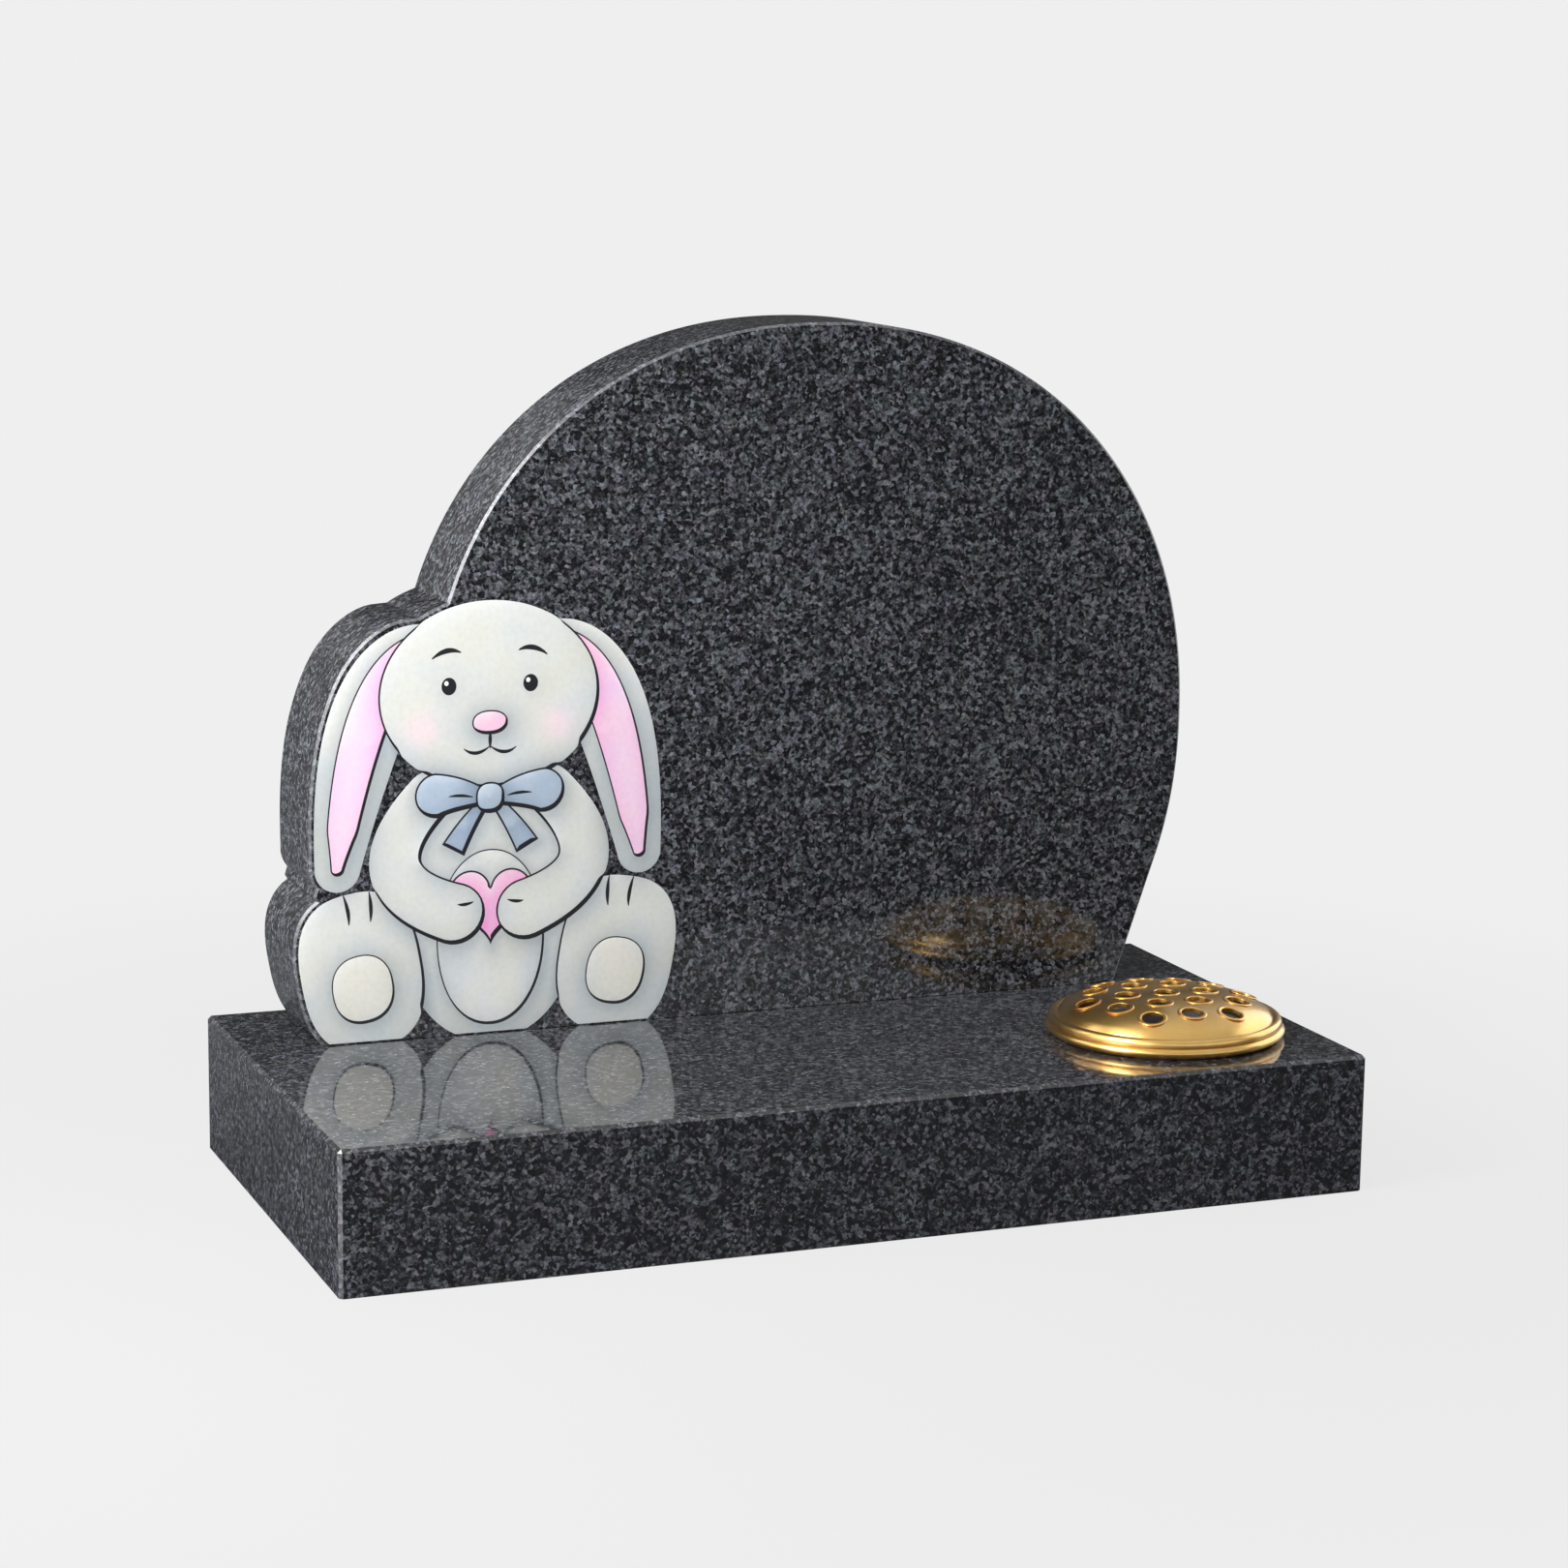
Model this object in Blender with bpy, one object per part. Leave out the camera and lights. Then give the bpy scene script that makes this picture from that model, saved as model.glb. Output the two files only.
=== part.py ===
"""Granite child memorial: a base, a round headstone with a figure-shaped lobe, and a flower container.

Metres, +Z up. The origin is under the middle of the base, and the front of the memorial faces -Y.
"""

import math

import bmesh
import bpy

# Gap left between two pieces that touch
TOUCH_GAP = 0.0003

# Granite base. Its depth holds the forecourt, the headstone and the strip behind it.
BASE_WIDTH = 0.610
BASE_DEPTH = 0.305
BASE_HEIGHT = 0.081
BASE_ARRIS = 0.002
STRIP_BEHIND = 0.0235
ARRIS_ROUNDNESS = 0.5

# Headstone. The disc is slightly squared, a superellipse, and low down its edge runs straight to the base.
STONE_THICKNESS = 0.070
STONE_ARRIS = 0.0015
DISC_HALF_WIDTH = 0.2413
DISC_HALF_HEIGHT = 0.2423
DISC_SQUARENESS = 2.14
DISC_CENTRE_ABOVE_BASE = 0.1684
DISC_RIGHT_OF_MIDDLE = 0.0457
FLANK_HEIGHT = 0.079

# Seated toy figure whose left side the headstone's lobe follows. Its shapes are shares of its height.
FIGURE_HEIGHT = 0.255
FIGURE_LEFT_OF_DISC_CENTRE = 0.2037
FIGURE_MARGIN = 0.003
NOTCH_FILL = 0.030
HEAD_CENTRE, HEAD_HALF_SIZE = (0.0, 0.785), (0.260, 0.215)
HEAD_SQUARENESS = 2.0
EAR_ROOT, EAR_BEND, EAR_TIP = (-0.130, 0.915), (-0.295, 0.890), (-0.357, 0.405)
EAR_HALF_WIDTH = 0.090
EAR_TAPER_START, EAR_TAPER_SPAN = 0.12, 0.68
FOOT_CENTRE, FOOT_HALF_SIZE = (-0.302, 0.165), (0.141, 0.184)
FOOT_SQUARENESS = 2.6
FOOT_LEAN = math.radians(10)

# Flower container, from its mouth outwards
MOUTH_RADIUS = 0.056
CONTAINER_WALL = 0.0015
HOLE_CLEARANCE = 0.0015
FLANGE_LEDGE = 0.0055
CONTAINER_ABOVE_GROUND = 0.004

# Lid of the flower container: a foot, two rounded steps and a dome with stem holes
LID_CLEARANCE = 0.0015
LID_SHEET = 0.0015
STEP_BULGE = 0.0035
LOWER_STEP_RISE = 0.0068
UPPER_STEP_RISE = 0.0046
UPPER_STEP_WIDTH = 0.0060
DOME_RISE = 0.0123
DOME_FULLNESS, DOME_ROUNDING = 3.6, 0.75
STEM_HOLE_RADIUS = 0.006
STEM_HOLE_MARGIN = 0.0008
STEM_GRID_TURN = math.radians(-5.4)
LID_FROM_RIGHT_EDGE = 0.015
LID_FROM_FRONT_EDGE = 0.0175

# Fineness of the round shapes
DISC_POINTS = 84
LOBE_POINTS = 34
LATHE_STEPS = 64
DOME_ROWS = 6
CUTTER_SIDES = 16
CUT_OVERLAP = 0.01

FRONT_EDGE = -BASE_DEPTH / 2
STONE_FRONT = BASE_DEPTH / 2 - STRIP_BEHIND - STONE_THICKNESS
FIGURE_MIDDLE = DISC_RIGHT_OF_MIDDLE - FIGURE_LEFT_OF_DISC_CENTRE
CONTAINER_RADIUS = MOUTH_RADIUS + CONTAINER_WALL
HOLE_RADIUS = CONTAINER_RADIUS + HOLE_CLEARANCE
FLANGE_RADIUS = HOLE_RADIUS + FLANGE_LEDGE
LID_FOOT_RADIUS = FLANGE_RADIUS + LID_CLEARANCE + LID_SHEET
LID_RADIUS = LID_FOOT_RADIUS + STEP_BULGE
STEM_HOLE_SPACING = (MOUTH_RADIUS - STEM_HOLE_RADIUS - STEM_HOLE_MARGIN) / 2
CONTAINER_X = BASE_WIDTH / 2 - LID_FROM_RIGHT_EDGE - LID_RADIUS
CONTAINER_Y = FRONT_EDGE + LID_FROM_FRONT_EDGE + LID_RADIUS


def clear_scene():
    for thing in list(bpy.data.objects):
        bpy.data.objects.remove(thing, do_unlink=True)


def material(name, colour, roughness, metallic):
    made = bpy.data.materials.new(name)
    made.use_nodes = True
    shader = made.node_tree.nodes["Principled BSDF"]
    shader.inputs["Base Color"].default_value = (*colour, 1.0)
    shader.inputs["Roughness"].default_value = roughness
    shader.inputs["Metallic"].default_value = metallic
    return made


def add_object(name, mesh_builder, finish, parent, place=(0.0, 0.0, 0.0)):
    mesh = bpy.data.meshes.new(name)
    mesh_builder.to_mesh(mesh)
    mesh_builder.free()
    if finish:
        mesh.materials.append(finish)
    thing = bpy.data.objects.new(name, mesh)
    bpy.context.scene.collection.objects.link(thing)
    thing.parent = parent
    thing.location = place
    return thing


def smooth_round_faces(thing, angle):
    thing.data.shade_smooth()
    thing.data.set_sharp_from_angle(angle=math.radians(angle))


def cut(thing, cutter):
    cutter.hide_render = True
    cutter.display_type = "WIRE"
    modifier = thing.modifiers.new("cut " + cutter.name, "BOOLEAN")
    modifier.operation = "DIFFERENCE"
    modifier.solver = "EXACT"
    modifier.object = cutter


def signed_power(value, power):
    return math.copysign(abs(value) ** power, value)


def superellipse_point(half_width, half_height, squareness, angle):
    x = half_width * signed_power(math.cos(angle), 2 / squareness)
    z = half_height * signed_power(math.sin(angle), 2 / squareness)
    return x, z


def closed_superellipse(centre, half_size, squareness, lean=0.0, count=96):
    points = []
    for step in range(count):
        x, z = superellipse_point(*half_size, squareness, 2 * math.pi * step / count)
        turned_x = x * math.cos(lean) - z * math.sin(lean)
        turned_z = x * math.sin(lean) + z * math.cos(lean)
        points.append((centre[0] + turned_x, centre[1] + turned_z))
    return points


def ear_outline(grow, count=48):
    """Outline of the hanging ear: circles along a quadratic curve, joined by their sides and a round tip."""
    points = []
    for side in (1, -1):
        for step in range(count + 1) if side == 1 else range(count, -1, -1):
            t = step / count
            weights = ((1 - t) ** 2, 2 * t * (1 - t), t * t)
            corners = (EAR_ROOT, EAR_BEND, EAR_TIP)
            x, z = (sum(w * corner[k] for w, corner in zip(weights, corners)) for k in (0, 1))
            slope_x = 2 * (1 - t) * (EAR_BEND[0] - EAR_ROOT[0]) + 2 * t * (EAR_TIP[0] - EAR_BEND[0])
            slope_z = 2 * (1 - t) * (EAR_BEND[1] - EAR_ROOT[1]) + 2 * t * (EAR_TIP[1] - EAR_BEND[1])
            length = math.hypot(slope_x, slope_z)
            half = ear_half_width(t) + grow
            points.append((x + side * half * slope_z / length, z - side * half * slope_x / length))
            if side == 1 and step == count:
                points.extend(round_tip((x, z), (slope_x / length, slope_z / length), half))
    return points


def ear_half_width(t):
    return EAR_HALF_WIDTH * math.sin(math.pi * (EAR_TAPER_START + EAR_TAPER_SPAN * t))


def round_tip(centre, forward, radius, count=16):
    points = []
    for step in range(1, count):
        angle = math.pi * step / count
        along, across = radius * math.sin(angle), radius * math.cos(angle)
        points.append((centre[0] + along * forward[0] + across * forward[1],
                       centre[1] + along * forward[1] - across * forward[0]))
    return points


def figure_outlines():
    """Closed outlines of the figure's left side, in metres from its middle line and the base's top."""
    grow = FIGURE_MARGIN / FIGURE_HEIGHT
    head = closed_superellipse(HEAD_CENTRE, [half + grow for half in HEAD_HALF_SIZE], HEAD_SQUARENESS)
    foot = closed_superellipse(FOOT_CENTRE, [half + grow for half in FOOT_HALF_SIZE], FOOT_SQUARENESS,
                               FOOT_LEAN)
    return [[(x * FIGURE_HEIGHT, z * FIGURE_HEIGHT) for x, z in outline]
            for outline in (head, ear_outline(grow), foot)]


def leftmost(outline, height):
    """Leftmost point of a closed outline at a height, or the figure's middle line where it doesn't reach."""
    found = 0.0
    for (x0, z0), (x1, z1) in zip(outline, outline[1:] + outline[:1]):
        if (z0 - height) * (z1 - height) <= 0 and z0 != z1:
            found = min(found, x0 + (x1 - x0) * (height - z0) / (z1 - z0))
    return found


def soft_minimum(first, second, width):
    """The lower of two values, with the corner between them filled over a width."""
    closeness = max(width - abs(first - second), 0.0) / width
    return min(first, second) - closeness * closeness * width / 4


def lobe_edge(outlines, height):
    edge = leftmost(outlines[0], height)
    for outline in outlines[1:]:
        edge = soft_minimum(edge, leftmost(outline, height), NOTCH_FILL)
    return FIGURE_MIDDLE + edge


def disc_half_width_at(height):
    """Half width of the disc. Below the flank's height the edge goes on straight, along its slope there."""
    level = max(height, FLANK_HEIGHT)
    rise = min(abs(level - DISC_CENTRE_ABOVE_BASE) / DISC_HALF_HEIGHT, 1.0)
    reach = (1 - rise ** DISC_SQUARENESS) ** (1 / DISC_SQUARENESS)
    half_width = DISC_HALF_WIDTH * reach
    if height < level:
        slope = DISC_HALF_WIDTH / DISC_HALF_HEIGHT * (rise / reach) ** (DISC_SQUARENESS - 1)
        half_width -= slope * (level - height)
    return half_width


def stone_outline():
    """Front view of the headstone, anticlockwise from its lower right corner, from the base's top up."""
    points = []
    outlines = figure_outlines()
    lobe_top = max(z for outline in outlines for x, z in outline)
    for step in range(DISC_POINTS):
        angle = -math.pi / 2 + 2 * math.pi * step / DISC_POINTS
        x, z = superellipse_point(DISC_HALF_WIDTH, DISC_HALF_HEIGHT, DISC_SQUARENESS, angle)
        height = z + DISC_CENTRE_ABOVE_BASE
        if height > FLANK_HEIGHT and (x > 0 or height > lobe_top):
            points.append((DISC_RIGHT_OF_MIDDLE + x, height))
    for step in range(LOBE_POINTS, -1, -1):
        height = TOUCH_GAP + (lobe_top - TOUCH_GAP) * math.sin(math.pi / 2 * step / LOBE_POINTS)
        disc_edge = DISC_RIGHT_OF_MIDDLE - disc_half_width_at(height)
        points.append((min(disc_edge, lobe_edge(outlines, height)), height))
    flank = [(DISC_RIGHT_OF_MIDDLE + disc_half_width_at(height), height)
             for height in (TOUCH_GAP, FLANK_HEIGHT)]
    return flank + points


def granite_base(finish, parent):
    builder = bmesh.new()
    bmesh.ops.create_cube(builder, size=1.0)
    bmesh.ops.scale(builder, vec=(BASE_WIDTH, BASE_DEPTH, BASE_HEIGHT), verts=builder.verts)
    bmesh.ops.translate(builder, vec=(0, 0, BASE_HEIGHT / 2), verts=builder.verts)
    arrises = [edge for edge in builder.edges if any(vert.co.z > BASE_HEIGHT / 2 for vert in edge.verts)]
    bmesh.ops.bevel(builder, geom=arrises, offset=BASE_ARRIS, segments=2, profile=ARRIS_ROUNDNESS,
                     affect="EDGES")
    base = add_object("granite_base", builder, finish, parent)
    cutter = bmesh.new()
    bmesh.ops.create_cone(cutter, cap_ends=True, segments=LATHE_STEPS, radius1=HOLE_RADIUS,
                          radius2=HOLE_RADIUS, depth=BASE_HEIGHT + 2 * CUT_OVERLAP)
    cut(base, add_object("container_hole", cutter, None, parent, (CONTAINER_X, CONTAINER_Y, BASE_HEIGHT / 2)))


def headstone(finish, parent):
    builder = bmesh.new()
    front = builder.faces.new([builder.verts.new((x, STONE_FRONT, z)) for x, z in stone_outline()])
    grown = bmesh.ops.extrude_face_region(builder, geom=[front], use_keep_orig=True)
    moved = [item for item in grown["geom"] if isinstance(item, bmesh.types.BMVert)]
    bmesh.ops.translate(builder, vec=(0, STONE_THICKNESS, 0), verts=moved)
    bmesh.ops.recalc_face_normals(builder, faces=builder.faces)
    arrises = [edge for edge in builder.edges
               if abs(edge.verts[0].co.y - edge.verts[1].co.y) < STONE_ARRIS
               and max(vert.co.z for vert in edge.verts) > 2 * TOUCH_GAP]
    bmesh.ops.bevel(builder, geom=arrises, offset=STONE_ARRIS, segments=2, profile=ARRIS_ROUNDNESS,
                     affect="EDGES", clamp_overlap=True)
    stone = add_object("headstone", builder, finish, parent, (0, 0, BASE_HEIGHT))
    smooth_round_faces(stone, 20)


def lathe(profile, closed):
    """A round shape turned from a profile of (radius, height) points about the vertical axis."""
    builder = bmesh.new()
    verts = [builder.verts.new((radius, 0, height)) for radius, height in profile]
    pairs = list(zip(verts, verts[1:] + verts[:1])) if closed else list(zip(verts, verts[1:]))
    edges = [builder.edges.new(pair) for pair in pairs]
    bmesh.ops.spin(builder, geom=verts + edges, axis=(0, 0, 1), cent=(0, 0, 0), angle=2 * math.pi,
                   steps=LATHE_STEPS, use_merge=True)
    bmesh.ops.remove_doubles(builder, verts=builder.verts, dist=0.00001)
    bmesh.ops.recalc_face_normals(builder, faces=builder.faces)
    return builder


def flower_container(finish, parent):
    flange_top = TOUCH_GAP + CONTAINER_WALL
    bottom = CONTAINER_ABOVE_GROUND - BASE_HEIGHT
    profile = [
        (0.0, bottom),
        (CONTAINER_RADIUS, bottom),
        (CONTAINER_RADIUS, TOUCH_GAP),
        (FLANGE_RADIUS, TOUCH_GAP),
        (FLANGE_RADIUS, flange_top),
        (MOUTH_RADIUS, flange_top),
        (MOUTH_RADIUS, bottom + CONTAINER_WALL),
        (0.0, bottom + CONTAINER_WALL),
    ]
    pot = add_object("flower_container", lathe(profile, closed=False), finish, parent,
                     (CONTAINER_X, CONTAINER_Y, BASE_HEIGHT))
    smooth_round_faces(pot, 30)


def quarter_round(start, corner, end, count):
    """Points of a quadratic curve from start to end, drawn towards a corner."""
    points = []
    for step in range(count):
        t = step / count
        points.append(tuple((1 - t) ** 2 * a + 2 * t * (1 - t) * b + t * t * c
                            for a, b, c in zip(start, corner, end)))
    return points


def dome_height(radius, dome_radius, springing):
    share = 1 - (radius / dome_radius) ** DOME_FULLNESS
    return springing + DOME_RISE * max(share, 0.0) ** DOME_ROUNDING


def lid_skin():
    """Outer profile of the lid, from its foot over both steps and the dome to the middle stem hole."""
    springing = LOWER_STEP_RISE + UPPER_STEP_RISE
    groove_radius = LID_FOOT_RADIUS + STEP_BULGE / 2
    dome_radius = groove_radius - UPPER_STEP_WIDTH
    foot = (LID_FOOT_RADIUS, TOUCH_GAP)
    groove = (groove_radius, LOWER_STEP_RISE)
    bulge = (LID_FOOT_RADIUS + 2 * STEP_BULGE - STEP_BULGE / 2, LOWER_STEP_RISE / 2)
    shoulder = (groove_radius - UPPER_STEP_WIDTH / 8, springing)
    skin = quarter_round(foot, bulge, groove, 4)
    skin += quarter_round(groove, shoulder, (dome_radius, springing), 3)
    for step in range(DOME_ROWS + 1):
        radius = dome_radius + (STEM_HOLE_RADIUS - dome_radius) * math.sin(math.pi / 2 * step / DOME_ROWS)
        skin.append((radius, dome_height(radius, dome_radius, springing)))
    return skin


def inset_profile(skin, thickness):
    """The same profile moved inwards by the sheet's thickness, along the mean normal at each point."""
    inner = []
    for index, (radius, height) in enumerate(skin):
        before = skin[max(index - 1, 0)]
        after = skin[min(index + 1, len(skin) - 1)]
        along = (after[0] - before[0], after[1] - before[1])
        length = math.hypot(*along)
        inner.append((radius - thickness * along[1] / length, height + thickness * along[0] / length))
    inner[0] = (skin[0][0] - thickness, skin[0][1])
    inner[-1] = (skin[-1][0], skin[-1][1] - thickness)
    return inner


def stem_hole_places():
    """Centres of the stem holes around the middle one, on a triangular grid of two rings."""
    places = []
    for row in range(-2, 3):
        for column in range(-2, 3):
            if abs(row + column) <= 2 and (row, column) != (0, 0):
                along = (column + row / 2) * STEM_HOLE_SPACING
                across = row * math.sqrt(3) / 2 * STEM_HOLE_SPACING
                places.append((along * math.cos(STEM_GRID_TURN) - across * math.sin(STEM_GRID_TURN),
                               along * math.sin(STEM_GRID_TURN) + across * math.cos(STEM_GRID_TURN)))
    return places


def flower_container_lid(finish, parent):
    skin = lid_skin()
    profile = skin + inset_profile(skin, LID_SHEET)[::-1]
    place = (CONTAINER_X, CONTAINER_Y, BASE_HEIGHT)
    lid = add_object("flower_container_lid", lathe(profile, closed=True), finish, parent, place)
    cutters = bmesh.new()
    dome_top = max(height for radius, height in skin)
    for x, y in stem_hole_places():
        made = bmesh.ops.create_cone(cutters, cap_ends=True, segments=CUTTER_SIDES, radius1=STEM_HOLE_RADIUS,
                                     radius2=STEM_HOLE_RADIUS, depth=dome_top)
        bmesh.ops.translate(cutters, vec=(x, y, dome_top + CUT_OVERLAP - dome_top / 2), verts=made["verts"])
    cut(lid, add_object("stem_holes", cutters, None, parent, place))
    smooth_round_faces(lid, 30)


def build():
    clear_scene()
    memorial = bpy.data.objects.new("memorial", None)
    bpy.context.scene.collection.objects.link(memorial)
    granite = material("polished granite", (0.060, 0.063, 0.072), 0.12, 0.0)
    aluminium = material("aluminium", (0.70, 0.70, 0.71), 0.35, 1.0)
    gold = material("gold anodised aluminium", (0.80, 0.52, 0.16), 0.28, 1.0)
    granite_base(granite, memorial)
    headstone(granite, memorial)
    flower_container(aluminium, memorial)
    flower_container_lid(gold, memorial)


build()
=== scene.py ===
# %% [markdown]
# Granite child memorial
#
# A polished granite base carries a round headstone of the same granite. The stone's left side is cut to the
# shape of a seated toy rabbit, which is painted on its polished face. A gold coloured lid closes the flower
# container that is sunk in the base. This script dresses the plain measured model: it makes each piece
# again with its fine edges and gives every surface its finish. All lengths are metres, +Z is up and the
# front faces -Y.

# %% Load the measured model
import math

import bmesh
import bpy
import numpy as np
from mathutils import Euler, Matrix, Vector
from mathutils.geometry import delaunay_2d_cdt


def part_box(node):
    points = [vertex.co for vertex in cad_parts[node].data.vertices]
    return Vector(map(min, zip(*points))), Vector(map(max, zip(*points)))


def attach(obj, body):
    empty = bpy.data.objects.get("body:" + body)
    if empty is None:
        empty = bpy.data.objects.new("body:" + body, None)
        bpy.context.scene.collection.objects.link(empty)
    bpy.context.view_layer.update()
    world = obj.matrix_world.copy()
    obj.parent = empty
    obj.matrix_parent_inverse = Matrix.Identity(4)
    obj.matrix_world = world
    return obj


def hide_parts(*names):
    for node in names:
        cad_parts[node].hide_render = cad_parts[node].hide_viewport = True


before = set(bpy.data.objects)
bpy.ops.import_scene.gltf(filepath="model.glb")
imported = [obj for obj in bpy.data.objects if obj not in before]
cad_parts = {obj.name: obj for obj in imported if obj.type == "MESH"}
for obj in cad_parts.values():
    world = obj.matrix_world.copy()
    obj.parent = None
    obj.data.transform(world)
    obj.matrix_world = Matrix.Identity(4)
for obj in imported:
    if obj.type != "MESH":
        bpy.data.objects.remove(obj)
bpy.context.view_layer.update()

base_low, base_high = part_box("granite_base")
stone_low, stone_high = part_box("headstone")
pot_low, pot_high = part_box("flower_container")
lid_low, lid_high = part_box("flower_container_lid")
print("base", [round(v, 4) for v in base_high - base_low],
      "stone", [round(v, 4) for v in stone_high - stone_low])

# %% [markdown]
# Working by hand, in code
#
# A modelling operator acts on whatever is selected, as it does in Blender's window. So before each step
# everything is deselected, and the faces or edges that the step needs are picked by where they are or which
# way they face.

# %% Selecting and finishing
def select_only(thing):
    bpy.ops.object.select_all(action="DESELECT")
    thing.select_set(True)
    bpy.context.view_layer.objects.active = thing


def pick(thing, kind, test):
    """Enters edit mode on a piece and selects its faces, edges or vertices that pass a test."""
    select_only(thing)
    bpy.ops.object.mode_set(mode="EDIT")
    bpy.ops.mesh.select_mode(type={"faces": "FACE", "edges": "EDGE", "verts": "VERT"}[kind])
    bpy.ops.mesh.select_all(action="DESELECT")
    mesh = bmesh.from_edit_mesh(thing.data)
    for item in getattr(mesh, kind):
        item.select_set(bool(test(item)))
    mesh.select_flush_mode()
    bmesh.update_edit_mesh(thing.data)


def leave_edit_mode():
    bpy.ops.object.mode_set(mode="OBJECT")


def apply_place(thing):
    select_only(thing)
    bpy.ops.object.transform_apply(location=True, rotation=True, scale=True)


def apply_modifiers(thing):
    select_only(thing)
    for modifier in list(thing.modifiers):
        bpy.ops.object.modifier_apply(modifier=modifier.name)


def smooth_by_angle(thing, degrees):
    select_only(thing)
    bpy.ops.object.shade_smooth_by_angle(angle=math.radians(degrees))


def name_piece(name):
    thing = bpy.context.object
    thing.name = thing.data.name = name
    return thing


def add_object(name, data):
    thing = bpy.data.objects.new(name, data)
    bpy.context.scene.collection.objects.link(thing)
    return thing


# %% [markdown]
# Turned shapes
#
# The pot, the lid and the collars round its holes are all round about an upright axis, as spun or turned
# metal is. Each starts as a chain of points, its half section, and the spin operator carries it once round
# the axis. Spin leaves a seam where the end meets the start, so doubles are merged and the faces are turned
# outwards afterwards.

# %% Spin a half section
def spin_profile(name, profile, steps, closed=False):
    """Turns a chain of (radius, height) points about the upright axis. A closed chain makes a ring."""
    links = [(i, i + 1) for i in range(len(profile) - 1)] + ([(len(profile) - 1, 0)] if closed else [])
    mesh = bpy.data.meshes.new(name)
    mesh.from_pydata([(radius, 0.0, height) for radius, height in profile], links, [])
    thing = add_object(name, mesh)
    pick(thing, "verts", lambda vert: True)
    bpy.ops.mesh.spin(steps=steps, angle=2 * math.pi, center=(0, 0, 0), axis=(0, 0, 1))
    bpy.ops.mesh.select_all(action="SELECT")
    bpy.ops.mesh.remove_doubles(threshold=0.00001)
    bpy.ops.mesh.normals_make_consistent(inside=False)
    leave_edit_mode()
    return thing


def cut_with(thing, cutter):
    select_only(thing)
    modifier = thing.modifiers.new("cut", "BOOLEAN")
    modifier.operation = "DIFFERENCE"
    modifier.solver = "EXACT"
    modifier.object = cutter
    apply_modifiers(thing)
    bpy.data.objects.remove(cutter, do_unlink=True)


# %% [markdown]
# The camera
#
# The photograph looks at the memorial from its left and a little above, with a long lens. The place, the
# turn and the focal length come from the straight edges of the base and the round outline of the stone in
# the photograph.

# %% Camera
camera_data = bpy.data.cameras.new("camera")
camera_data.sensor_width = 36.0
camera_data.lens = 87.41
camera_data.clip_end = 100.0
camera = add_object("camera", camera_data)
camera.location = (-0.7875, -2.0151, 0.6351)
camera.rotation_euler = Euler((1.3859, -0.0119, -0.3708))
bpy.context.scene.camera = camera
print("camera distance", round(camera.location.length, 3))

# %% [markdown]
# Finishes as nodes
#
# Each finish is a net of nodes, with constants set on their sockets. The class makes the kinds of node that
# most of them use.

# %% Nodes for finishes
def grey(value):
    return (value, value, value, 1)


class Net:
    """The nodes and links of a material or of the world."""

    def __init__(self, owner):
        owner.use_nodes = True
        self.owner, self.nodes = owner, owner.node_tree.nodes
        self.new, self.link = owner.node_tree.nodes.new, owner.node_tree.links.new

    def put(self, value, socket):
        """Sets a constant on a socket, or links an output to it."""
        if isinstance(value, (int, float, tuple)):
            socket.default_value = value
        else:
            self.link(value, socket)

    def math(self, operation, *values):
        node = self.new("ShaderNodeMath")
        node.operation = operation
        for value, socket in zip(values, node.inputs):
            self.put(value, socket)
        return node.outputs[0]

    def fade(self, value, start, end, low=0.0, high=1.0):
        """A soft step from low to high as the value goes from start to end."""
        node = self.new("ShaderNodeMapRange")
        node.interpolation_type = "SMOOTHSTEP"
        names = ("Value", "From Min", "From Max", "To Min", "To Max")
        for name, amount in zip(names, (value, start, end, low, high)):
            self.put(amount, node.inputs[name])
        return node.outputs["Result"]

    def mix(self, factor, first, second, blend="MIX"):
        """Mixes two colours, each a constant or an output."""
        node = self.new("ShaderNodeMix")
        node.data_type, node.blend_type = "RGBA", blend
        for name, value in (("Factor", factor), ("A", first), ("B", second)):
            self.put(value, node.inputs[name])
        return node.outputs["Result"]

    def noise(self, where, scale, detail=2.0):
        node = self.new("ShaderNodeTexNoise")
        node.inputs["Scale"].default_value = scale
        node.inputs["Detail"].default_value = detail
        self.link(where, node.inputs["Vector"])
        return node

    def ramp(self, stops):
        node = self.new("ShaderNodeValToRGB")
        elements = node.color_ramp.elements
        while len(elements) > 1:
            elements.remove(elements[-1])
        elements[0].position, elements[0].color = stops[0][0], (*stops[0][1], 1)
        for position, colour in stops[1:]:
            elements.new(position).color = (*colour, 1)
        return node

    def bump(self, shader, height, strength, distance):
        """Lets a height stir a shader's normals, without moving the surface."""
        relief = self.new("ShaderNodeBump")
        relief.inputs["Strength"].default_value = strength
        relief.inputs["Distance"].default_value = distance
        self.link(height, relief.inputs["Height"])
        self.link(relief.outputs[0], shader.inputs["Normal"])


# %% [markdown]
# Floor and light
#
# A plain pale floor runs out to the horizon and meets a sky of the same tone, so no line shows behind the
# stone. Only close to the memorial does the floor take a faint shadow. The polished faces mirror what
# stands round them, so the room is shaped as in a studio with black flags: a dark floor in front, a paler
# one behind, darkness low behind the stone on the right, where the base's top and the stone's upper edge
# look, and brightness overhead and, for mirrored rays, low in front, where the lid's rolled rim looks.
#
# A tall softbox close by on the left is the main light: it draws the bright line on the stone's arris,
# lights the left sides more than the fronts, and falls off towards the right end of the base. A wide, weak
# one stands further out on the left and gives the turned metal its long pale highlights. Another weak one
# on the right keeps the far side of the lid from going dark.

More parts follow.
